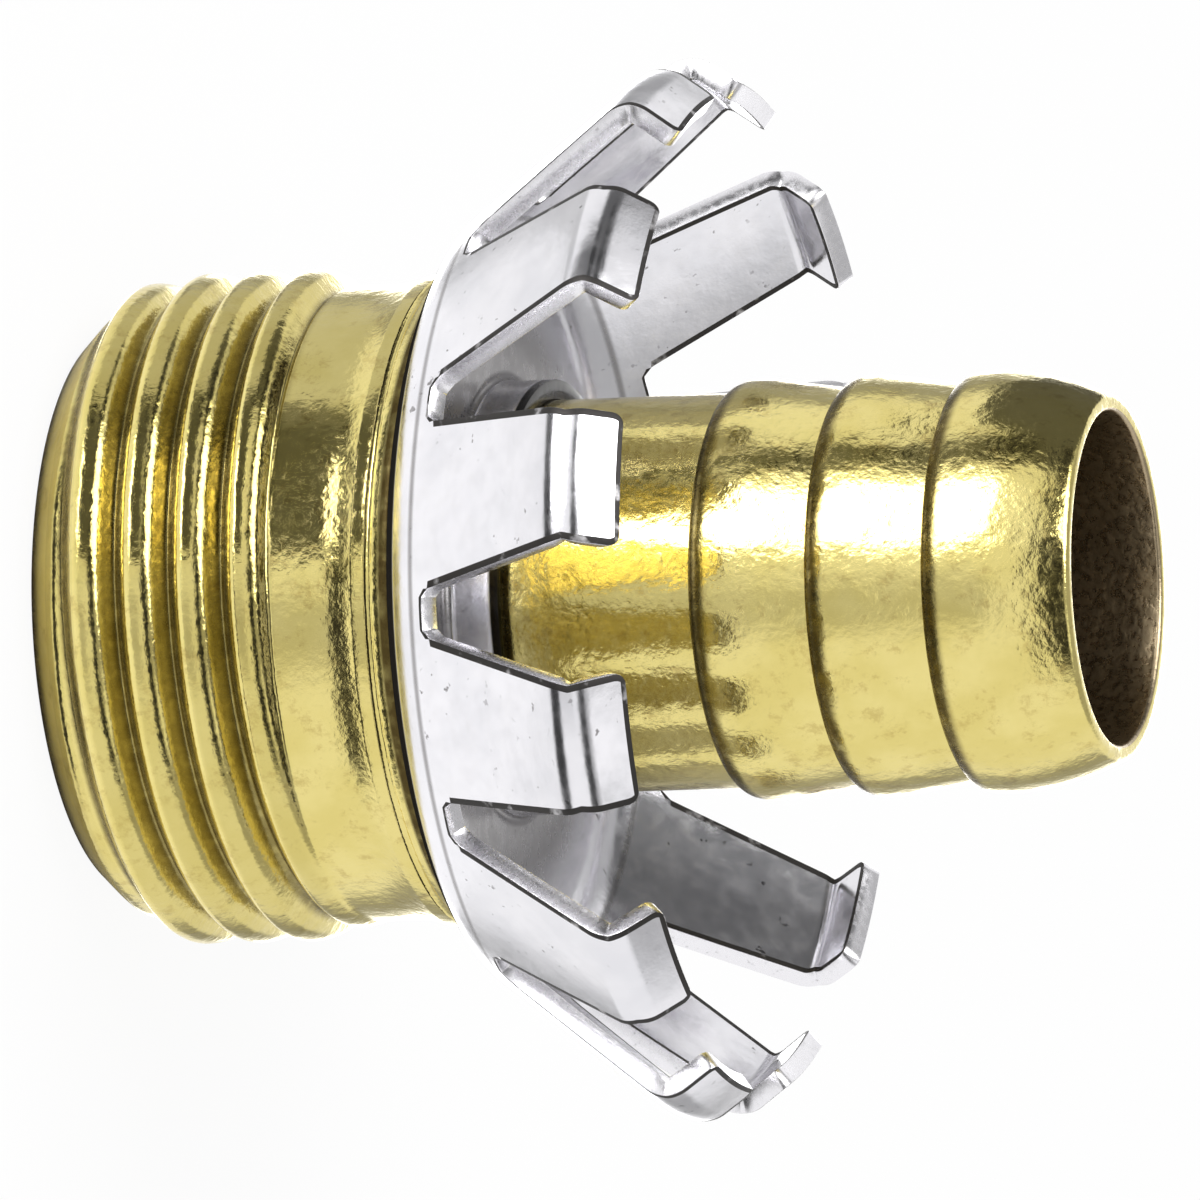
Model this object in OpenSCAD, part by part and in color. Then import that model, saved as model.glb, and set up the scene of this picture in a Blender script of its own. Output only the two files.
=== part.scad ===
// Male garden hose repair coupler with a finger clinch ring.
// Stands on its threaded end face. Z runs along the waterway, towards the barbed end.

/* [Thread] */
// Major diameter of the male hose thread
thread_d = 26.9; // [26:0.1:28]
// Axial distance from one thread crest to the next
thread_pitch = 2.209; // [2:0.001:2.4]
// Radial height of the thread
thread_h = 1.05; // [0.9:0.05:1.2]
// Width of the flat on a thread crest
crest_w = 0.95; // [0.7:0.05:1.05]
// Height of the first full crest above the end face
thread_start = 2.9; // [2.7:0.1:3.2]
// Turns of full thread
thread_turns = 3.1; // [2:0.1:3.4]
// Outer diameter of the chamfered end face
lead_d = 22.2; // [21.5:0.1:23.5]

/* [Neck and flange] */
// Height of the flange face that the clinch ring sits on
flange_z = 15.6; // [15:0.1:18]
// Diameter of the flange
flange_d = 26.1; // [25.8:0.1:28]
// Thickness of the flange rim
flange_rim = 1.1; // [0.8:0.1:1.5]
// Diameter of the neck between thread and flare
neck_d = 25.4; // [25:0.1:25.6]
// Radius of the neck's hollow flare
flare_r = 5; // [4:0.5:7]

/* [Barbed stem] */
// Diameter of the plain stem
stem_d = 15.7; // [15:0.1:16.5]
// Height of a barb above the stem
barb_h = 0.5; // [0.3:0.05:0.7]
// Height of the first barb's foot above the end face
barb_z = 26.2; // [25:0.1:28]
// Distance from one barb to the next
barb_pitch = 4.75; // [4:0.05:5.5]
// Number of barbs
barb_count = 3; // [1:1:3]
// Length of a barb's steep side
barb_rise = 0.9; // [0.5:0.05:1.2]
// Length from the last barb's foot to the barbed end
nose_len = 5.8; // [5.5:0.1:8]

/* [Waterway] */
// Diameter of the waterway through the stem
bore_d = 13.2; // [11:0.1:13.5]
// Diameter of the recess in the threaded end
recess_d = 19; // [15:0.1:20]
// Depth of the straight part of the recess
recess_depth = 11; // [5:0.1:12]

/* [Clinch ring] */
// Thickness of the steel sheet
sheet = 0.8; // [0.6:0.05:1]
// Number of fingers
finger_count = 12; // [10:1:12]
// Angle between a finger and the coupler's axis
splay = 33; // [25:1:38]
// Outer radius of the bend between disc and skirt
root_bend_r = 3.6; // [3:0.1:4.5]
// Radius at which the flat disc starts to bend
disc_r = 13; // [12.5:0.1:13.5]
// Height of the notch ends above the flange face
notch_z = 2.7; // [2.5:0.1:3.2]
// Height of the fingers' hook bend above the flange face
knee_z = 9.4; // [8.5:0.1:10]
// Angle of the hooked tip, inward from the coupler's axis
hook_angle = 41; // [25:1:50]
// Length of the hooked tip
hook_len = 2.6; // [2:0.1:3.5]
// Outer radius of the hook bend
hook_bend_r = 1.4; // [1.2:0.1:1.8]
// Width of a finger where it leaves the skirt
root_w = 6.9; // [6:0.1:7.1]
// Width of a finger at its hook bend and tip
tip_w = 5.4; // [4.5:0.1:5.8]
// Height of the drawn collar above the disc
collar_h = 2.2; // [1.5:0.1:3]
// Gap between the collar and the stem
collar_gap = 0.02; // [0.01:0.01:0.05]

/* [Hidden] */
$fn = 96;
// How far a cut runs past the face that it opens
cut = 1;

brass = [0.72, 0.62, 0.28];
zinc = [0.85, 0.86, 0.88];

root_r = thread_d / 2 - thread_h;
neck_r = neck_d / 2;
flange_r = flange_d / 2;
stem_r = stem_d / 2;
barb_r = stem_r + barb_h;
bore_r = bore_d / 2;
recess_r = recess_d / 2;
lead_r = lead_d / 2;
last_barb_z = barb_z + (barb_count - 1) * barb_pitch;
body_h = last_barb_z + nose_len;

rim_z = flange_z - flange_rim;
flange_edge_r = 0.3;
rim_groove = 0.12;

// Points of an arc from angle a0 to a1 about centre c, in finer steps where it is wide
fine_step = 8;
coarse_step = 20;
wide_r = 2;
function arc(c, r, a0, a1) =
    let (n = ceil(abs(a1 - a0) / (r > wide_r ? fine_step : coarse_step)))
        [for (i = [0:n]) c + r * [cos(a0 + (a1 - a0) * i / n), sin(a0 + (a1 - a0) * i / n)]];

// The core steps out to the neck a little above the last full turn of the thread
core_end = thread_start + (thread_turns + 0.3) * thread_pitch;

// The neck's hollow flare leans out to a short band below the rim
flare_band = 0.5;
flare_turn = acos(1 - (flange_r - neck_r) / flare_r);
flare_z = rim_z - flare_band - flare_r * sin(flare_turn);
module core_section() {
    polygon(concat(
        [[0, 0], [lead_r, 0], [root_r, root_r - lead_r],
            [root_r, core_end + root_r - neck_r], [neck_r, core_end]],
        arc([neck_r + flare_r, flare_z], flare_r, 180, 180 - flare_turn),
        [[flange_r, rim_z], [flange_r - rim_groove, rim_z + rim_groove], [flange_r, rim_z + 2 * rim_groove]],
        arc([flange_r - flange_edge_r, flange_z - flange_edge_r], flange_edge_r, 0, 90),
        [[0, flange_z]]));
}

// A barb rises steeply over its eased shoulder to a short land, then slopes back to the next foot
barb_ease = 0.05;
barb_land = 0.5;
function barb_rise_points(z) =
    [[0, z], [stem_r, z], [barb_r - barb_ease, z + 0.8 * barb_rise], [barb_r, z + barb_rise]];

// The last barb falls in a long convex curve to the rounded rim of the barbed end
nose_r = 0.35;
nose_drop = 1.05;
nose_start_angle = 5;
nose_end_angle = 24.5;
nose_curve_r = nose_drop / (cos(nose_start_angle) - cos(nose_end_angle));
nose_end_dir = [cos(nose_end_angle), sin(nose_end_angle)];
rim_c = [barb_r - nose_drop, body_h - nose_r] - nose_r * [nose_end_dir[0], 0];
module stem_section() {
    translate([0, flange_z]) square([stem_r, last_barb_z - flange_z]);
    for (z = [barb_z:barb_pitch:last_barb_z - barb_pitch / 2])
        polygon(concat(barb_rise_points(z), [[barb_r, z + barb_rise + barb_land],
            [stem_r, z + barb_pitch], [0, z + barb_pitch]]));
    polygon(concat(barb_rise_points(last_barb_z),
        arc(rim_c + (nose_r - nose_curve_r) * nose_end_dir, nose_curve_r, nose_start_angle, nose_end_angle),
        arc(rim_c, nose_r, nose_end_angle, 90),
        [[0, body_h]]));
}

// One thread tooth swept along the helix, its foot sunk a little into the core.
// It grows out of the core over the first half turn and fades back into it over the last.
tooth_sink = 0.25;
least_tooth = 0.12;
half_crest = crest_w / 2;
// The feet of two turns never meet
half_foot = min(half_crest + thread_h * tan(30), 0.49 * thread_pitch);
fade_turns = 0.5;
swept_turns = thread_turns + 2 * fade_turns;
steps_turn = 48;
thread_start_angle = 7 * 360 / steps_turn;
module thread() {
    low_r = root_r - tooth_sink;
    steps = floor(swept_turns * steps_turn);
    last = 4 * steps;
    function z_at(turn) = thread_start + (turn - fade_turns) * thread_pitch;
    function grown(turn) = min(1, turn / fade_turns, (swept_turns - turn) / fade_turns);
    function top_r(turn) = low_r + least_tooth + (thread_h + tooth_sink - least_tooth) * grown(turn);
    rings = [for (i = [0:steps])
        let (turn = i / steps_turn, a = thread_start_angle + 360 * turn, z = z_at(turn), r = top_r(turn),
            foot = half_crest + (half_foot - half_crest) * (r - low_r) / (thread_h + tooth_sink))
        for (p = [[low_r, z - foot], [r, z - half_crest], [r, z + half_crest], [low_r, z + foot]])
            [p[0] * cos(a), p[0] * sin(a), p[1]]];
    sides = [for (i = [0:steps - 1]) for (k = [0:3])
        let (here = 4 * i + k, next = 4 * i + (k + 1) % 4)
            for (face = [[here, next, next + 4], [here, next + 4, here + 4]]) face];
    polyhedron(points = rings, faces = concat([[2, 1, 0], [3, 2, 0]], sides,
        [[last, last + 1, last + 2], [last, last + 2, last + 3]]), convexity = 8);
}

module brass_body() {
    color(brass)
    difference() {
        union() {
            rotate_extrude()
                union() {
                    core_section();
                    stem_section();
                }
            thread();
        }
        // Waterway, with a cone of 45 degrees between the recess and the bore
        rotate_extrude()
            polygon([[0, -cut], [recess_r, -cut], [recess_r, recess_depth],
                [bore_r, recess_depth + recess_r - bore_r], [bore_r, body_h + cut], [0, body_h + cut]]);
    }
}

// Clinch ring: section of the whole ring before the gaps between its fingers are cut
bend_turn = 90 - splay;
bend_c = [disc_r, flange_z + root_bend_r];
panel_dir = [sin(splay), cos(splay)];
bend_end = bend_c + root_bend_r * [sin(bend_turn), -cos(bend_turn)];
knee = bend_end + (flange_z + knee_z - bend_end[1]) / panel_dir[1] * panel_dir;
hook_dir = [-sin(hook_angle), cos(hook_angle)];
hook_tangent = hook_bend_r * tan((splay + hook_angle) / 2);
hook_c = knee - hook_tangent * panel_dir + hook_bend_r * [-cos(splay), sin(splay)];
tip = knee + hook_len * hook_dir;
hub_r = stem_r + collar_gap;
collar_top = flange_z + sheet + collar_h;
// The collar is drawn up from the disc round a small inner bend
collar_bend_r = 0.6 * sheet;
module ring_section() {
    polygon(concat(
        [[hub_r + collar_bend_r, flange_z]],
        arc(bend_c, root_bend_r, -90, -splay),
        arc(hook_c, hook_bend_r, -splay, hook_angle),
        [tip, tip - sheet * [cos(hook_angle), sin(hook_angle)]],
        arc(hook_c, hook_bend_r - sheet, hook_angle, -splay),
        arc(bend_c, root_bend_r - sheet, -splay, -90),
        arc([hub_r + sheet + collar_bend_r, flange_z + sheet + collar_bend_r], collar_bend_r, -90, -180),
        [[hub_r + sheet, collar_top], [hub_r, collar_top], [hub_r, flange_z + collar_bend_r]]));
}

// Radius of the skirt's outer face at height z, up to the hook bend
function skirt_r(z) = bend_end[0] + panel_dir[0] * (z - bend_end[1]) / panel_dir[1];

// Gap between two fingers, an outline seen along a radius and extruded outward through the sheet
notch_corner = 0.4;
tip_corner = 0.5;
module notch() {
    foot_z = flange_z + notch_z;
    half_pitch = 180 / finger_count;
    function half_gap(r, w) = r * sin(half_pitch) - w / 2 * cos(half_pitch);
    foot = half_gap(skirt_r(foot_z), root_w);
    side = [[foot - notch_corner, foot_z], [foot, foot_z + notch_corner], [half_gap(knee[0], tip_w), knee[1]],
        [half_gap(tip[0], tip_w), tip[1] - tip_corner], [half_gap(tip[0], tip_w) + tip_corner, tip[1]],
        [half_gap(tip[0], tip_w) + tip_corner, tip[1] + cut]];
    other_side = [for (i = [len(side) - 1:-1:0]) [-side[i][0], side[i][1]]];
    translate([0, cut - disc_r, 0])
        rotate([90, 0, 0])
            linear_extrude(height = knee[0] - disc_r + 2 * cut) polygon(concat(side, other_side));
}

module clinch_ring() {
    color(zinc)
    difference() {
        rotate_extrude() ring_section();
        for (i = [0:finger_count - 1])
            rotate([0, 0, i * 360 / finger_count]) notch();
    }
}

brass_body();
clinch_ring();
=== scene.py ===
"""Male garden hose repair coupler: turned brass body, zinc-plated clinch ring with twelve hooked fingers.

The sizes are in millimetres and the meshes in metres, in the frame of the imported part: Z runs along
the waterway, the threaded end face lies at z = 0, and a gap between two fingers faces -Y.
"""

import math

import bpy
import numpy as np
from mathutils import Matrix, Vector


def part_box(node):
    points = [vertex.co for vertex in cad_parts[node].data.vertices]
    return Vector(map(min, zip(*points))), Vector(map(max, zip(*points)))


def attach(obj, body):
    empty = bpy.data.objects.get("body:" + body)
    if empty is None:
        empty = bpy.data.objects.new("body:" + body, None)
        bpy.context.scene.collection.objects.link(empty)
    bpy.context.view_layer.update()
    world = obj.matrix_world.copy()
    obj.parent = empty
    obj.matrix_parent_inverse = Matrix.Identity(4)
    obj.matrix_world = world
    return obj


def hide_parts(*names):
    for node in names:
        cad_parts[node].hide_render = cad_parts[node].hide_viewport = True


MM = 0.001

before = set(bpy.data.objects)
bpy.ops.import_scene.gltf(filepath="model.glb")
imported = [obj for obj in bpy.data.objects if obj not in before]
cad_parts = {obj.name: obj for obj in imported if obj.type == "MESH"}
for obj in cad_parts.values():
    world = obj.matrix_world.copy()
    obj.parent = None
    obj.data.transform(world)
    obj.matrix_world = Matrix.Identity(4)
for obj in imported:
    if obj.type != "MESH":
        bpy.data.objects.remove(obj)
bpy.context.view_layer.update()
_, body_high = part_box("brass_body")
ring_low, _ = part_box("clinch_ring")

# Brass body
BODY_H = body_high.z / MM
LEAD_R = 11.1
THREAD_R = 13.45
THREAD_H = 1.05
THREAD_PITCH = 2.209
THREAD_START = 2.7
THREAD_START_ANGLE = 52.5
THREAD_TURNS = 3.1
FADE_TURNS = 0.5
CREST_W = 0.95
CREST_FALL = 0.22
ROOT_R = THREAD_R - THREAD_H
NECK_R = 12.7
NECK_START = 10.4
FLANGE_R = 13.05
FLANGE_Z = ring_low.z / MM
FLANGE_RIM = 1.1
FLARE_R = 5.0
FLARE_BAND = 0.5
STEM_R = 7.85
BARB_R = 8.35
BARB_Z = 26.2
BARB_PITCH = 4.75
BARB_COUNT = 3
BARB_RISE = 0.9
BARB_LAND = 0.5
NOSE_DROP = 1.05
NOSE_R = 0.35
BORE_R = 6.6
RECESS_R = 9.5
RECESS_DEPTH = 11.0

# Clinch ring
SHEET = 0.8
FINGERS = 12
SPLAY = 33
DISC_R = 13.0
ROOT_BEND_R = 3.6
NOTCH_Z = FLANGE_Z + 2.7
KNEE_Z = FLANGE_Z + 9.4
HOOK_ANGLE = 41
HOOK_LEN = 2.6
HOOK_BEND_R = 1.4
ROOT_W = 6.9
TIP_W = 5.4
COLLAR_TOP = FLANGE_Z + 3.0
COLLAR_BEND_R = 1.25
HUB_R = STEM_R + 0.02

# Camera, fitted to the photograph
CAMERA_TILT = 17.23
CAMERA_ROLL = 1.95
CAMERA_TURN = -1.7
CAMERA_DISTANCE = 636.0
VIEW_WIDTH = 47.68
AIM_Z = 25.3
AIM_RIGHT = 4.94
AIM_UP = 0.35
SENSOR = 36.0


def arc(cx, cy, r, a0, a1, steps):
    """Points of an arc, in degrees, both ends included."""
    angles = [math.radians(a0 + (a1 - a0) * i / steps) for i in range(steps + 1)]
    return [(cx + r * math.cos(a), cy + r * math.sin(a)) for a in angles]


def spaced(points, step):
    """The same open line with points at most a step apart."""
    out = [points[0]]
    for p, q in zip(points, points[1:]):
        n = max(1, math.ceil(math.dist(p, q) / step))
        out += [(p[0] + (q[0] - p[0]) * i / n, p[1] + (q[1] - p[1]) * i / n) for i in range(1, n + 1)]
    return out


def mesh_object(name, vertices, faces, materials, sharp_angle=40):
    mesh = bpy.data.meshes.new(name)
    mesh.from_pydata([Vector(v) * MM for v in vertices], [], faces)
    mesh.validate()
    for material in materials:
        mesh.materials.append(material)
    obj = bpy.data.objects.new(name, mesh)
    bpy.context.scene.collection.objects.link(obj)
    mesh.polygons.foreach_set("use_smooth", [True] * len(mesh.polygons))
    mesh.set_sharp_from_angle(angle=math.radians(sharp_angle))
    return obj


def bake_modifiers(obj, sharp_angle):
    """Applies the object's modifiers to its mesh."""
    bpy.context.view_layer.update()
    shape = bpy.data.meshes.new_from_object(obj.evaluated_get(bpy.context.evaluated_depsgraph_get()))
    obj.modifiers.clear()
    obj.data = shape
    shape.polygons.foreach_set("use_smooth", [True] * len(shape.polygons))
    shape.set_sharp_from_angle(angle=math.radians(sharp_angle))
    return obj


# Materials


class Shader:
    """A material's node tree, with one short call for each kind of node."""

    def __init__(self, name):
        self.material = bpy.data.materials.new(name)
        self.material.use_nodes = True
        self.tree = self.material.node_tree
        self.surface = self.tree.nodes["Principled BSDF"]
        self.place = self.node("ShaderNodeTexCoord").outputs["Object"]

    def node(self, kind, **settings):
        made = self.tree.nodes.new(kind)
        for key, value in settings.items():
            setattr(made, key, value)
        return made

    def link(self, source, target):
        if isinstance(source, (int, float, tuple)):
            target.default_value = source
        else:
            self.tree.links.new(source, target)

    def noise(self, feature_mm, detail=3.0, roughness=0.55, stretch=(1, 1, 1)):
        """Noise with features of that size. Stretch lengthens them along an axis."""
        size = self.node("ShaderNodeMapping")
        size.inputs["Scale"].default_value = [1 / (feature_mm * MM * s) for s in stretch]
        self.link(self.place, size.inputs["Vector"])
        noise = self.node("ShaderNodeTexNoise")
        noise.inputs["Scale"].default_value = 1.0
        noise.inputs["Detail"].default_value = detail
        noise.inputs["Roughness"].default_value = roughness
        self.link(size.outputs["Vector"], noise.inputs["Vector"])
        return noise.outputs["Fac"]

    def ramp(self, value, low, high, to_low=0.0, to_high=1.0):
        mapped = self.node("ShaderNodeMapRange", interpolation_type="SMOOTHSTEP")
        for source, target in zip((value, low, high, to_low, to_high), mapped.inputs[:5]):
            self.link(source, target)
        return mapped.outputs["Result"]

    def math(self, operation, a, b=0.0):
        made = self.node("ShaderNodeMath", operation=operation)
        self.link(a, made.inputs[0])
        self.link(b, made.inputs[1])
        return made.outputs[0]

    def times(self, a, b):
        return self.math("MULTIPLY", a, b)

    def either(self, a, b):
        return self.math("MAXIMUM", a, b)

    def less(self, a, b):
        return self.math("SUBTRACT", a, b)

    def mix(self, factor, a, b):
        made = self.node("ShaderNodeMix", data_type="RGBA")
        self.link(factor, made.inputs["Factor"])
        self.link(a, made.inputs[6])
        self.link(b, made.inputs[7])
        return made.outputs[2]

    def near(self, reach_mm):
        """1 in the open, falling to 0 where other surfaces crowd in from within that reach."""
        made = self.node("ShaderNodeAmbientOcclusion", samples=12)
        made.inputs["Distance"].default_value = reach_mm * MM
        return made.outputs["AO"]

    def radius_and_height(self):
        """Distance from the waterway's axis and height, in metres."""
        split = self.node("ShaderNodeSeparateXYZ")
        self.link(self.place, split.inputs[0])
        x, y, z = split.outputs
        flat = self.math("ADD", self.times(x, x), self.times(y, y))
        return self.math("SQRT", flat), z

    def thread_lap(self):
        """Share of a pitch above the lower shoulder of the thread's crest."""
        split = self.node("ShaderNodeSeparateXYZ")
        self.link(self.place, split.inputs[0])
        x, y, z = split.outputs
        around = self.times(self.math("ARCTAN2", y, x), 1 / (2 * math.pi))
        along = self.math("DIVIDE", z, THREAD_PITCH * MM)
        shoulder = (THREAD_START - CREST_W / 2) / THREAD_PITCH - FADE_TURNS - THREAD_START_ANGLE / 360
        return self.math("FRACT", self.less(self.less(along, around), shoulder - 9.0))

    def between(self, value, low, high, soft):
        """1 from low to high, with soft ends."""
        return self.times(self.ramp(value, low - soft, low + soft),
                          self.ramp(value, high + soft, high - soft))

    def bump(self, height, depth_mm, normal=None):
        made = self.node("ShaderNodeBump")
        made.inputs["Distance"].default_value = depth_mm * MM
        self.link(height, made.inputs["Height"])
        if normal is not None:
            self.link(normal, made.inputs["Normal"])
        return made.outputs["Normal"]


def brass_material():
    """Tumbled yellow brass: mottled, fine-grained and dinged, with painted shade in corners, in the thread's
    grooves and on its crests, on the barbs' rises, round the collar and at the flange's rim, and a tarnished
    waterway.
    """
    s = Shader("brass")
    grain = s.noise(0.3, detail=3.0, roughness=0.65)
    clean = s.mix(s.ramp(s.noise(2.6, detail=4.0), 0.35, 0.68), (0.82, 0.70, 0.27, 1), (0.75, 0.63, 0.215, 1))
    stain = s.times(s.ramp(s.noise(1.0, detail=6.0, roughness=0.75), 0.52, 0.68), 0.42)
    stained = s.mix(stain, clean, (0.42, 0.29, 0.08, 1))
    radius, height = s.radius_and_height()
    # Painted shade: a dark band on the flange's top corner, where the ring sits on it.
    rim = s.times(s.ramp(height, (FLANGE_Z - 0.62) * MM, (FLANGE_Z - 0.45) * MM),
                  s.math("GREATER_THAN", radius, ROOT_R * MM))
    lap = s.thread_lap()
    threaded = s.times(s.math("GREATER_THAN", radius, (ROOT_R - 0.4) * MM),
                       s.ramp(height, (NECK_START + 0.3) * MM, (NECK_START - 0.3) * MM))
    # Painted shade: the thread's crest flats and upper flanks are darkened towards olive brown.
    painted_crest_shade = s.times(s.between(lap, 0.12, 0.6, 0.06), threaded)
    with_crest_shade = s.mix(s.times(painted_crest_shade, 0.33), stained, (0.47, 0.385, 0.11, 1))
    # Painted shade in the thread's grooves, over the roots and lower flanks.
    roots = s.times(s.between(lap, 0.64, 0.92, 0.06), threaded)
    barb_lap = s.math("FRACT", s.math("DIVIDE", s.less(height, BARB_Z * MM), BARB_PITCH * MM))
    on_stem = s.times(s.math("GREATER_THAN", height, (BARB_Z - 0.5) * MM),
                      s.math("LESS_THAN", height, (BARB_Z + (BARB_COUNT - 0.5) * BARB_PITCH) * MM))
    # Painted shade on each barb's rise, with a ragged edge.
    ragged = s.math("ADD", barb_lap, s.times(s.noise(0.5), 0.03))
    feet = s.times(s.ramp(ragged, 0.2, 0.11), on_stem)
    # Painted shadow on the stem where the ring's collar ends.
    at_collar = s.between(height, (COLLAR_TOP - 0.5) * MM, (COLLAR_TOP + 0.2) * MM, 0.05 * MM)
    rings = s.either(s.times(feet, 0.9), at_collar)
    lines = s.either(rings, s.times(roots, 0.75))
    # Painted shade: corners that other surfaces crowd, the flange's rim, the barbs' rises, the collar's foot
    # and the thread's grooves take a near-black colour, broken a little by noise.
    corners = s.either(s.either(s.ramp(s.near(0.9), 0.55, 0.2), rim), lines)
    painted_shade = s.times(corners, s.ramp(s.noise(0.6), 0.2, 0.6, 0.7, 1.0))
    with_painted_shade = s.mix(painted_shade, with_crest_shade, (0.10, 0.07, 0.02, 1))
    in_recess = s.times(s.math("LESS_THAN", radius, (RECESS_R + 0.1) * MM),
                        s.math("LESS_THAN", height, (FLANGE_Z - 0.5) * MM))
    tarnish = s.either(s.math("LESS_THAN", radius, (BORE_R + 0.12) * MM), in_recess)
    s.link(s.mix(tarnish, with_painted_shade, (0.45, 0.36, 0.23, 1)), s.surface.inputs["Base Color"])
    fine = s.ramp(grain, 0.3, 0.75, 0.10, 0.21)
    s.link(s.math("ADD", fine, s.times(s.either(tarnish, painted_shade), 0.15)),
           s.surface.inputs["Roughness"])
    rough = s.bump(grain, 0.016)
    s.link(s.bump(s.noise(1.3, detail=3.0), 0.06, rough), s.surface.inputs["Normal"])
    # The flange's top corner is made less metallic as part of its painted shade.
    s.link(s.less(1.0, s.times(rim, 0.8)), s.surface.inputs["Metallic"])
    s.link(s.less(0.5, s.times(rim, 0.45)), s.surface.inputs["Specular IOR Level"])
    return s.material


def zinc_material():
    """Bright zinc plating on rolled sheet, with sparse dark pits, and painted shade in its corners, on the
    disc's inner face, along the root bend, on the collar's end and on the underside at the flange's edge.
    """
    s = Shader("zinc_plating")
    cloud = s.noise(3.0, detail=3.0)
    clean = s.mix(s.ramp(cloud, 0.3, 0.7), (0.87, 0.86, 0.89, 1), (0.79, 0.785, 0.82, 1))
    pits = s.times(s.ramp(s.noise(0.45, detail=2.0), 0.66, 0.74), s.ramp(s.noise(4.0), 0.45, 0.6))
    pitted = s.mix(s.times(pits, 0.8), clean, (0.16, 0.15, 0.15, 1))
    radius, height = s.radius_and_height()
    # Painted shade: the ring's underside at the flange's edge is near-black and not metallic.
    crevice = s.times(s.ramp(radius, (DISC_R + 0.4) * MM, (DISC_R + 0.6) * MM),
                      s.ramp(height, (FLANGE_Z + 0.85) * MM, (FLANGE_Z + 0.75) * MM))
    collar_wall = (HUB_R + SHEET + 0.05) * MM
    # Painted shade on the end of the collar.
    lip = s.times(s.math("LESS_THAN", radius, collar_wall),
                  s.ramp(height, (COLLAR_TOP - 0.4) * MM, (COLLAR_TOP - 0.3) * MM))
    # Painted shade on the disc's inner face.
    disc_face = s.times(s.ramp(radius, (DISC_R + 0.5) * MM, (DISC_R - 2.5) * MM),
                        s.math("GREATER_THAN", radius, collar_wall))
    inside = s.times(disc_face, s.math("GREATER_THAN", height, (FLANGE_Z + 0.5 * SHEET) * MM))
    # Painted dark reflection along the root bend.
    crease = s.times(s.between(height, (FLANGE_Z + 1.7) * MM, (FLANGE_Z + 1.9) * MM, 0.08 * MM),
                     s.math("GREATER_THAN", radius, (DISC_R + 1) * MM))
    # Painted shade where other surfaces crowd in.
    shaded = s.either(s.ramp(s.near(5.0), 0.62, 0.2), s.times(crease, 0.6))
    painted_zinc_shade = s.either(shaded, s.times(inside, 0.8))
    with_zinc_shade = s.mix(painted_zinc_shade, pitted, (0.13, 0.12, 0.115, 1))
    painted_black_shade = s.either(lip, crevice)
    s.link(s.mix(painted_black_shade, with_zinc_shade, (0.02, 0.018, 0.016, 1)), s.surface.inputs["Base Color"])
    sheen = s.ramp(s.noise(0.8), 0.3, 0.75, 0.15, 0.24)
    s.link(s.math("ADD", sheen, s.times(painted_zinc_shade, 0.12)), s.surface.inputs["Roughness"])
    fine = s.bump(s.noise(0.18, detail=2.0), 0.003)
    s.link(s.bump(s.noise(1.8, detail=2.0), 0.022, fine), s.surface.inputs["Normal"])
    # The painted black shade under the ring is matt, not metal.
    open_face = s.less(1.0, crevice)
    s.link(open_face, s.surface.inputs["Metallic"])
    s.link(s.times(open_face, 0.5), s.surface.inputs["Specular IOR Level"])
    return s.material


def cut_face_material():
    """The sheared face of the sheet: burnished and plated, with faint tears."""
    s = Shader("zinc_cut_face")
    tear = s.noise(0.3, detail=3.0)
    s.link(s.mix(s.ramp(tear, 0.62, 0.76), (0.88, 0.87, 0.90, 1), (0.6, 0.59, 0.61, 1)),
           s.surface.inputs["Base Color"])
    s.link(s.ramp(tear, 0.3, 0.7, 0.2, 0.32), s.surface.inputs["Roughness"])
    s.link(s.bump(tear, 0.002), s.surface.inputs["Normal"])
    s.surface.inputs["Metallic"].default_value = 1.0
    return s.material


def burr_and_dark_reflection_material():
    """The rolled-over corner of a cut, coloured nearly black as a painted dark reflection, with random
    lighter rubbed patches.
    """
    s = Shader("zinc_burr_and_dark_reflection")
    rubbed = s.ramp(s.noise(1.2, detail=4.0), 0.58, 0.7)
    s.link(s.mix(rubbed, (0.045, 0.042, 0.04, 1), (0.5, 0.49, 0.5, 1)), s.surface.inputs["Base Color"])
    s.link(s.math("ADD", 0.5, s.times(rubbed, -0.2)), s.surface.inputs["Roughness"])
    s.surface.inputs["Metallic"].default_value = 0.6
    s.surface.inputs["Specular IOR Level"].default_value = 0.2
    return s.material


# Brass body

ANGLES = 264
THREAD_STEP = 0.05
ROUNDING = 0.2
SHOULDER_ROUNDING = 0.34
ROOT_ROUNDING = 0.16
EDGE_R = 0.12
THREAD_END = THREAD_START + (THREAD_TURNS + 1.5 * FADE_TURNS) * THREAD_PITCH


def softer_max(a, b, width):
    return (a + b + np.sqrt((a - b) ** 2 + width ** 2)) / 2


def softer_min(a, b, width):
    return -softer_max(-a, -b, width)


def core_radius(z):
    """Body radius under the thread: the lead-in chamfer, the thread's root and the step out to the neck."""
    lead = LEAD_R + z - EDGE_R + np.sqrt(EDGE_R ** 2 - np.maximum(EDGE_R - z, 0) ** 2)
    step = NECK_R - ROOT_R
    return softer_min(lead, ROOT_R + np.clip(z - NECK_START + step, 0, step), ROUNDING)


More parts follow.
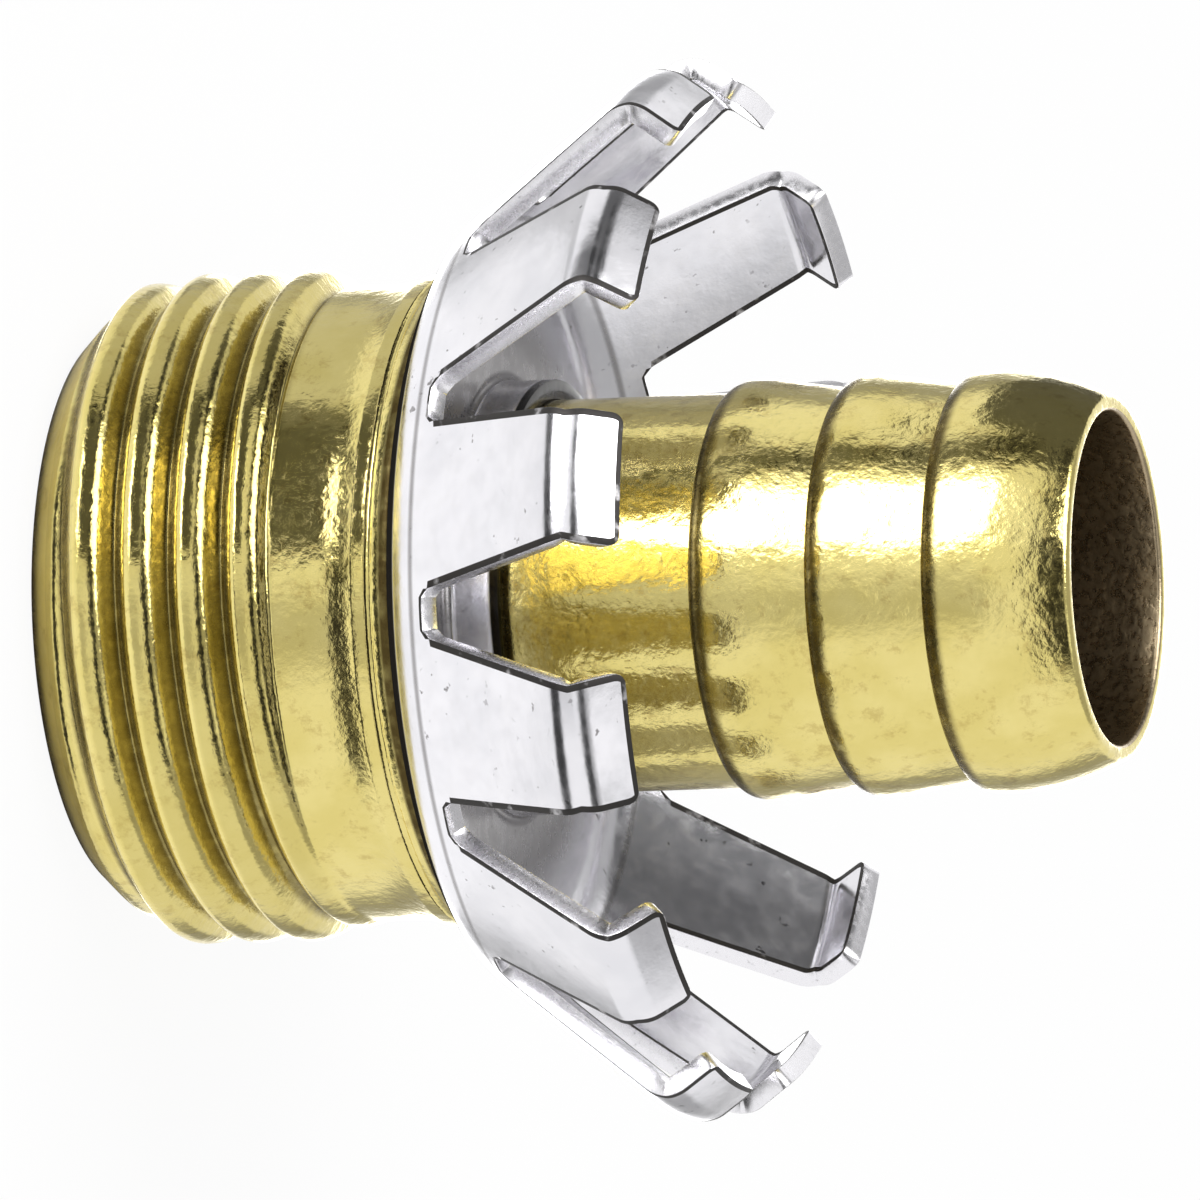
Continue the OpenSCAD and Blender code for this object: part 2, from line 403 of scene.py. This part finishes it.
def threaded_radius(z, angles):
    """Body radius at height z for each angle. Each worn crest falls away a little from its lower shoulder."""
    radius = core_radius(np.full(len(angles), z))
    swept = THREAD_TURNS + 2 * FADE_TURNS
    first = (angles - math.radians(THREAD_START_ANGLE)) / (2 * math.pi) % 1
    for lap in range(math.ceil(swept)):
        turn = first + lap
        centre = THREAD_START + (turn - FADE_TURNS) * THREAD_PITCH
        grown = np.clip(np.minimum(turn, swept - turn) / FADE_TURNS, -1, 1)
        top = ROOT_R + THREAD_H * grown
        across = z - centre + CREST_W / 2
        crown = top + 0.06 - CREST_FALL * np.maximum(across, 0) ** 2
        lower, upper = (top + rise / math.tan(math.radians(30)) for rise in (across, CREST_W - across))
        tooth = softer_min(softer_min(crown, lower, SHOULDER_ROUNDING), upper, ROUNDING)
        radius = softer_max(radius, tooth, ROOT_ROUNDING * np.clip(grown, 0.05, 1))
    return np.minimum(radius, THREAD_R)


def neck_line():
    """Points (radius, z) from above the thread to the flange's upper face at the stem."""
    turn = math.degrees(math.acos(1 - (FLANGE_R - NECK_R) / FLARE_R))
    rim_z = FLANGE_Z - FLANGE_RIM
    flare_z = rim_z - FLARE_BAND - FLARE_R * math.sin(math.radians(turn))
    groove = 0.13
    edge = 0.28
    line = arc(NECK_R + FLARE_R, flare_z, FLARE_R, 180, 180 - turn, 16)
    line += [(FLANGE_R - 0.02, rim_z - 0.05), (FLANGE_R - 0.7 * groove, rim_z),
             (FLANGE_R - groove, rim_z + groove), (FLANGE_R - 0.6 * groove, rim_z + 2 * groove),
             (FLANGE_R - 0.01, rim_z + 2.6 * groove)]
    line += arc(FLANGE_R - edge, FLANGE_Z - edge, edge, 0, 90, 6)
    return line + [(STEM_R, FLANGE_Z)]


def barb_line(foot):
    """Points (radius, z) of one barb: its foot, a rounded rise and a short land."""
    rise = [(STEM_R + (BARB_R - STEM_R) * math.sin(math.radians(a)),
             foot + BARB_RISE * (1 - math.cos(math.radians(a)))) for a in range(0, 91, 10)]
    return rise + [(BARB_R, foot + BARB_RISE + BARB_LAND)]


def nose_line():
    """Points (radius, z) of the last barb's long fall, its rounded rim and the bore's edge."""
    start, end = 5.0, 24.5
    curve_r = NOSE_DROP / (math.cos(math.radians(start)) - math.cos(math.radians(end)))
    out = (math.cos(math.radians(end)), math.sin(math.radians(end)))
    rim_r = BARB_R - NOSE_DROP - NOSE_R * out[0]
    rim_z = BODY_H - NOSE_R
    inside = 0.2
    curve_c = (rim_r + (NOSE_R - curve_r) * out[0], rim_z + (NOSE_R - curve_r) * out[1])
    return (arc(*curve_c, curve_r, start, end, 12)
            + arc(rim_r, rim_z, NOSE_R, end + 10, 90, 6)
            + arc(BORE_R + inside, BODY_H - inside, inside, 90, 180, 4))


def brass_body(material):
    angles = np.arange(ANGLES) * 2 * math.pi / ANGLES
    rows = [(np.full(ANGLES, r), z) for r, z in [(RECESS_R + EDGE_R, 0.0), (LEAD_R - EDGE_R, 0.0)]]
    count = round(THREAD_END / THREAD_STEP)
    rows += [(threaded_radius(z, angles), z) for z in (THREAD_END * (i + 0.5) / count for i in range(count))]
    stem = neck_line()
    for i in range(BARB_COUNT):
        stem += barb_line(BARB_Z + i * BARB_PITCH)
    stem += nose_line()
    stem += [(BORE_R, RECESS_DEPTH + RECESS_R - BORE_R), (RECESS_R, RECESS_DEPTH), (RECESS_R, EDGE_R)]
    rows += [(np.full(ANGLES, r), z) for r, z in spaced(stem, 1.2)]
    vertices = [(r[k] * math.cos(a), r[k] * math.sin(a), z) for r, z in rows for k, a in enumerate(angles)]
    total = len(rows)
    faces = [(i * ANGLES + k, i * ANGLES + (k + 1) % ANGLES,
              (i + 1) % total * ANGLES + (k + 1) % ANGLES, (i + 1) % total * ANGLES + k)
             for i in range(total) for k in range(ANGLES)]
    return mesh_object("brass_body_turned", vertices, faces, [material], 50)


# Clinch ring

FINGER_COLUMNS = 14
GAP_COLUMNS = 6
NOTCH_CORNER = 0.45
TIP_CORNER = 0.5
# Width of the burred strip along each cut edge, painted nearly black as a dark reflection.
BURR_AND_DARK_REFLECTION_W = 0.28
EDGE_BEVEL = 0.04
# How much further, in degrees, each finger leans out than the rest, from the front gap round to the top
LEAN = [0, 0, 3, 7.5, 2.5, 0, 0, 2, 5, 4, 0.5, 0]

panel_dir = (math.sin(math.radians(SPLAY)), math.cos(math.radians(SPLAY)))
bend_c = (DISC_R, FLANGE_Z + ROOT_BEND_R)
bend_end = (bend_c[0] + ROOT_BEND_R * panel_dir[1], bend_c[1] - ROOT_BEND_R * panel_dir[0])
knee_r = bend_end[0] + (KNEE_Z - bend_end[1]) * panel_dir[0] / panel_dir[1]
hook_dir = (-math.sin(math.radians(HOOK_ANGLE)), math.cos(math.radians(HOOK_ANGLE)))
tip = (knee_r + HOOK_LEN * hook_dir[0], KNEE_Z + HOOK_LEN * hook_dir[1])
tangent = HOOK_BEND_R * math.tan(math.radians(SPLAY + HOOK_ANGLE) / 2)
hook_c = (knee_r - tangent * panel_dir[0] - HOOK_BEND_R * panel_dir[1],
          KNEE_Z - tangent * panel_dir[1] + HOOK_BEND_R * panel_dir[0])


def ring_line():
    """Points (r, z) of the sheet's outer face up to the notches' foot, and of a finger from there on."""
    foot = (bend_end[0] + (NOTCH_Z - bend_end[1]) * panel_dir[0] / panel_dir[1], NOTCH_Z)
    ring = [(HUB_R, COLLAR_TOP)]
    ring += arc(HUB_R + COLLAR_BEND_R, FLANGE_Z + COLLAR_BEND_R, COLLAR_BEND_R, 180, 270, 8)
    below_foot = (foot[0] - BURR_AND_DARK_REFLECTION_W * panel_dir[0], foot[1] - BURR_AND_DARK_REFLECTION_W * panel_dir[1])
    ring += arc(*bend_c, ROOT_BEND_R, -90, -SPLAY, 14) + [below_foot, foot]
    finger = [foot] + arc(*hook_c, HOOK_BEND_R, -SPLAY, HOOK_ANGLE, 14)
    corner = [(tip[0] - e * hook_dir[0], tip[1] - e * hook_dir[1]) for e in (TIP_CORNER * c for c in
              (1, 0.7, 0.45, 0.25, 0.08, 0))]
    return spaced(ring, 0.6), spaced(finger + corner, 0.5)


def finger_half_angle(r, z):
    """Half the angle that a finger fills at that height, between gaps cut along a radius."""
    step = math.pi / FINGERS

    def half_gap(radius, width):
        return radius * math.sin(step) - width / 2 * math.cos(step)

    foot_r = bend_end[0] + (NOTCH_Z - bend_end[1]) * panel_dir[0] / panel_dir[1]
    gap = np.interp(z, [NOTCH_Z, KNEE_Z, tip[1]],
                    [half_gap(foot_r, ROOT_W), half_gap(knee_r, TIP_W), half_gap(tip[0], TIP_W)])
    to_tip = math.dist((r, z), tip)
    if z > KNEE_Z and to_tip < TIP_CORNER:
        gap += TIP_CORNER - math.sqrt(TIP_CORNER ** 2 - (TIP_CORNER - to_tip) ** 2)
    return step - math.asin(gap / max(r, foot_r if z <= NOTCH_Z else r))


def leaned(r, z, degrees):
    """The point turned about the root bend, more the further it is round the bend."""
    reach = math.dist((r, z), (DISC_R, FLANGE_Z))
    a = -math.radians(degrees) * min(1, max(0, reach / 5)) if r > DISC_R else 0
    x, y = r - bend_c[0], z - bend_c[1]
    return bend_c[0] + x * math.cos(a) - y * math.sin(a), bend_c[1] + x * math.sin(a) + y * math.cos(a)


def clinch_ring(plated, cut, burr_and_dark_reflection):
    """One sheet: collar, disc and skirt as a closed ring of columns, with the fingers' columns carried on.

    Each sheared side takes the slot before its neighbour's: the cut face beside a burred strip painted nearly
    black as a dark reflection.
    """
    ring, finger = ring_line()
    columns = FINGER_COLUMNS + GAP_COLUMNS
    step = 2 * math.pi / FINGERS
    vertices, faces, burr_and_dark_reflection_faces = [], [], []

    def add(r, z, angle, lean):
        r, z = leaned(r, z, lean)
        vertices.append((-r * math.sin(angle), -r * math.cos(angle), z))
        return len(vertices) - 1

    def column_angle(k, half, r):
        """Angle from the finger's middle: a narrow column along each side, then columns across the gap."""
        if k in (0, FINGER_COLUMNS):
            return half if k else -half
        if k < FINGER_COLUMNS:
            return (half - BURR_AND_DARK_REFLECTION_W / r) * (2 * (k - 1) / (FINGER_COLUMNS - 2) - 1)
        return half + (step - 2 * half) * (k - FINGER_COLUMNS) / GAP_COLUMNS

    foot_r, foot_z = ring[-1]
    foot_half = finger_half_angle(foot_r, foot_z)
    grid = []
    for i, (r, z) in enumerate(ring):
        row = []
        for f in range(FINGERS):
            for k in range(columns):
                angle = column_angle(k, foot_half, foot_r)
                lean = LEAN[f] if k <= FINGER_COLUMNS else np.interp(
                    k, [FINGER_COLUMNS, columns], [LEAN[f], LEAN[(f + 1) % FINGERS]])
                share = max(0, (i - len(ring) + 4) / 3)
                rise = 0
                if k > FINGER_COLUMNS:
                    side = min(angle - foot_half, step - foot_half - angle) * foot_r
                    inside = max(0, NOTCH_CORNER - side)
                    rise = NOTCH_CORNER - math.sqrt(NOTCH_CORNER ** 2 - inside ** 2) - NOTCH_CORNER
                shift = rise * share
                place = (r + shift * panel_dir[0], z + shift * panel_dir[1])
                row.append(add(*place, (f + 0.5) * step + angle, lean))
        grid.append(row)
    around = len(grid[0])
    for i in range(len(ring) - 1):
        for k in range(around):
            if i == len(ring) - 2 and k % columns >= FINGER_COLUMNS:
                burr_and_dark_reflection_faces.append(len(faces))
            after = (k + 1) % around
            faces.append((grid[i][k], grid[i + 1][k], grid[i + 1][after], grid[i][after]))
    for f in range(FINGERS):
        below = grid[-1][f * columns:f * columns + FINGER_COLUMNS + 1]
        for r, z in finger[1:]:
            half = finger_half_angle(r, z)
            row = [add(r, z, (f + 0.5) * step + column_angle(k, half, r), LEAN[f])
                   for k in range(FINGER_COLUMNS + 1)]
            for k in range(FINGER_COLUMNS):
                if k in (0, FINGER_COLUMNS - 1) or math.dist((r, z), tip) < 0.5 * BURR_AND_DARK_REFLECTION_W:
                    burr_and_dark_reflection_faces.append(len(faces))
                faces.append((below[k], row[k], row[k + 1], below[k + 1]))
            below = row
    obj = mesh_object("clinch_ring_stamped", vertices, faces, [plated, cut, burr_and_dark_reflection])
    # The burred strips along each cut and round the tips take the near-black painted dark reflection.
    for i in burr_and_dark_reflection_faces:
        obj.data.polygons[i].material_index = 2
    sheet = obj.modifiers.new("sheet", "SOLIDIFY")
    sheet.thickness = SHEET * MM
    sheet.offset = -1
    sheet.use_even_offset = True
    sheet.material_offset_rim = -1
    edges = obj.modifiers.new("edges", "BEVEL")
    edges.width = EDGE_BEVEL * MM
    edges.segments = 2
    edges.limit_method = "ANGLE"
    edges.angle_limit = math.radians(50)
    return bake_modifiers(obj, 35)


brass = brass_material()
zinc = zinc_material()
body = brass_body(brass)
ring = clinch_ring(zinc, cut_face_material(), burr_and_dark_reflection_material())
for piece, node, slot in ((body, "brass_body", "brass"), (ring, "clinch_ring", "zinc_plated_steel")):
    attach(piece, "root")
    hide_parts(node)
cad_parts["brass_body"].data.materials.clear()
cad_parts["brass_body"].data.materials.append(brass)
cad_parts["clinch_ring"].data.materials.clear()
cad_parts["clinch_ring"].data.materials.append(zinc)


# Stage, light and camera


def studio_world():
    """White for the camera. Metal sees the same white, with a bright strip light and dark flags round it."""
    world = bpy.data.worlds.new("studio")
    bpy.context.scene.world = world
    world.use_nodes = True
    tree = world.node_tree
    tree.nodes.clear()

    def node(kind, **settings):
        made = tree.nodes.new(kind)
        for key, value in settings.items():
            setattr(made, key, value)
        return made

    def link(source, target):
        if isinstance(source, (int, float)):
            target.default_value = source
        else:
            tree.links.new(source, target)

    def calc(operation, a, b=0.0):
        made = node("ShaderNodeMath", operation=operation)
        link(a, made.inputs[0])
        link(b, made.inputs[1])
        return made.outputs[0]

    def window(value, centre, half, soft):
        """1 within half of the centre, falling to 0 over a soft edge, all in degrees."""
        away = calc("ABSOLUTE", calc("SUBTRACT", value, float(centre)))
        edge = node("ShaderNodeMapRange", interpolation_type="SMOOTHSTEP")
        for source, target in zip((away, half - soft / 2, half + soft / 2, 1.0, 0.0), edge.inputs[:5]):
            link(source, target)
        return edge.outputs["Result"]

    toward = node("ShaderNodeTexCoord").outputs["Generated"]
    split = node("ShaderNodeSeparateXYZ")
    link(toward, split.inputs[0])
    x, y, z = split.outputs
    azimuth = calc("DEGREES", calc("ARCTAN2", calc("MULTIPLY", x, -1.0), calc("MULTIPLY", y, -1.0)))
    height = calc("DEGREES", calc("ARCSINE", z))
    behind = calc("SUBTRACT", 180.0, calc("ABSOLUTE", azimuth))

    # Azimuth 0 is the camera's side, and grows towards the picture's top. Each angle has its centre, half
    # width and soft edge, and the last number is the brightness added there.
    patches = [
        (azimuth, (0, 190, 1), (65, 30, 10), -0.53),  # dimmer overhead
        (azimuth, (40, 22, 12), (62, 9, 8), 0.38),  # soft light on the hooks
        (azimuth, (-50, 22, 12), (60, 9, 8), 0.6),  # soft light on the lower hooks
        (azimuth, (104, 16, 8), (44, 7, 5), 0.4),  # soft light on the upper hook
        (azimuth, (42, 17, 7), (-18, 22, 8), 7.0),  # the strip light
        (azimuth, (79, 9, 8), (-17, 24, 10), -0.85),  # flag above the strip
        (azimuth, (-8, 14, 20), (-17, 24, 10), -0.35),  # flag below the strip
        (azimuth, (0, 75, 20), (-52, 15, 8), -0.95),  # dark band under the horizon
        (azimuth, (15, 75, 30), (31, 9, 7), -0.95),  # dark band over the horizon
        (azimuth, (96, 24, 8), (18, 16, 8), -0.88),  # flag past the upper side
        (behind, (0, 18, 8), (-17, 24, 8), 3.0),  # the strip again, from behind
        (behind, (38, 12, 12), (-17, 24, 10), -0.6),  # flag beside it
    ]
    seen = 1.0
    for angle, across, up, brightness in patches:
        patch = calc("MULTIPLY", window(angle, *across), window(height, *up))
        seen = calc("ADD", seen, calc("MULTIPLY", patch, brightness))
    seen = calc("MAXIMUM", seen, 0.03)

    path = node("ShaderNodeLightPath")
    glossy = node("ShaderNodeMix", data_type="FLOAT")
    link(path.outputs["Is Glossy Ray"], glossy.inputs["Factor"])
    link(0.55, glossy.inputs["A"])
    link(seen, glossy.inputs["B"])
    plain = calc("MAXIMUM", path.outputs["Is Camera Ray"], path.outputs["Is Transmission Ray"])
    strength = node("ShaderNodeMix", data_type="FLOAT")
    link(plain, strength.inputs["Factor"])
    link(glossy.outputs["Result"], strength.inputs["A"])
    link(1.0, strength.inputs["B"])
    background = node("ShaderNodeBackground")
    background.inputs["Color"].default_value = (1, 1, 1, 1)
    link(strength.outputs["Result"], background.inputs["Strength"])
    tree.links.new(background.outputs[0], node("ShaderNodeOutputWorld").inputs["Surface"])


def floor_material():
    """Pale matt floor, nearly white to the camera, which keeps a soft shadow."""
    material = bpy.data.materials.new("floor")
    material.use_nodes = True
    tree = material.node_tree
    tree.nodes.clear()
    path = tree.nodes.new("ShaderNodeLightPath")
    matt = tree.nodes.new("ShaderNodeBsdfDiffuse")
    matt.inputs["Color"].default_value = (0.85, 0.85, 0.85, 1)
    white = tree.nodes.new("ShaderNodeEmission")
    mix = tree.nodes.new("ShaderNodeMixShader")
    share = tree.nodes.new("ShaderNodeMath")
    share.operation = "MULTIPLY"
    share.inputs[1].default_value = 0.94
    tree.links.new(path.outputs["Is Camera Ray"], share.inputs[0])
    tree.links.new(share.outputs[0], mix.inputs[0])
    tree.links.new(matt.outputs[0], mix.inputs[1])
    tree.links.new(white.outputs[0], mix.inputs[2])
    tree.links.new(mix.outputs[0], tree.nodes.new("ShaderNodeOutputMaterial").inputs["Surface"])
    return material


def disc(name, radius, z, material):
    rim = [(radius * math.cos(a), radius * math.sin(a), z)
           for a in (2 * math.pi * i / 64 for i in range(64))]
    obj = mesh_object(name, rim, [tuple(range(64))], [material])
    return obj


def card(name, brightness, low, high, start, end):
    """A card that only metal sees, between two (radius, z) points and two azimuths, from -Y towards -X."""
    material = bpy.data.materials.new(name)
    material.use_nodes = True
    tree = material.node_tree
    tree.nodes.clear()
    glow = tree.nodes.new("ShaderNodeEmission")
    glow.inputs["Strength"].default_value = brightness
    tree.links.new(glow.outputs[0], tree.nodes.new("ShaderNodeOutputMaterial").inputs["Surface"])
    steps = 48
    turns = [math.radians(start + (end - start) * i / steps) for i in range(steps + 1)]
    points = [(-r * math.sin(a), -r * math.cos(a), z) for r, z in (low, high) for a in turns]
    faces = [(i, i + 1, i + steps + 2, i + steps + 1) for i in range(steps)]
    board = mesh_object(name, points, faces, [material])
    for kind in ("camera", "diffuse", "transmission", "volume_scatter", "shadow"):
        setattr(board, "visible_" + kind, False)


def area_lamp(name, place, size, power):
    light = bpy.data.lights.new(name, "AREA")
    light.size = size
    light.energy = power
    lamp = bpy.data.objects.new(name, light)
    lamp.location = place
    lamp.rotation_euler = (Vector((0, 0, 0.02)) - Vector(place)).to_track_quat("-Z", "Y").to_euler()
    lamp.visible_camera = False
    bpy.context.scene.collection.objects.link(lamp)


def photo_camera():
    """The photograph's view: the barbed end nearer and to the right, the camera rolled a quarter turn."""
    tilt, roll, turn = (math.radians(a) for a in (CAMERA_TILT, CAMERA_ROLL, CAMERA_TURN))
    along = Vector((math.cos(tilt) * math.cos(roll), math.cos(tilt) * math.sin(roll), math.sin(tilt)))
    up = Vector((-math.sin(roll), math.cos(roll), 0))
    near = along.cross(up)
    minus_y = math.cos(turn) * near + math.sin(turn) * up
    minus_x = math.cos(turn) * up - math.sin(turn) * near
    to_camera = Matrix((-minus_x, -minus_y, along)).transposed()
    aim = Vector((AIM_RIGHT, AIM_UP, -CAMERA_DISTANCE)) * MM
    origin = aim - to_camera @ Vector((0, 0, AIM_Z * MM))
    back = to_camera.transposed()
    data = bpy.data.cameras.new("camera")
    data.sensor_width = SENSOR
    data.lens = SENSOR * CAMERA_DISTANCE / VIEW_WIDTH
    data.clip_start = 0.01
    camera = bpy.data.objects.new("camera", data)
    camera.matrix_world = Matrix.Translation(-(back @ origin)) @ back.to_4x4()
    bpy.context.scene.collection.objects.link(camera)
    bpy.context.scene.camera = camera


studio_world()
matt_white = floor_material()
floor = disc("floor", 2000, -0.02, matt_white)
floor.visible_glossy = False
disc("floor_under_part", 12.5, -0.01, matt_white)
card("dark_fence", 0.12, (30, 0), (30, 11), 16, 57)
card("pale_fence", 0.66, (30, 0), (30, 11), 64, 120)
card("dark_screen", 0.12, (33, 33), (33, 72), 85, 150)
card("pale_ring", 1.1, (14, 0), (23, 0), -180, 180)
area_lamp("key_light", (-0.5, -0.35, 0.9), 0.8, 9)
photo_camera()
bpy.context.scene.view_settings.view_transform = "Standard"
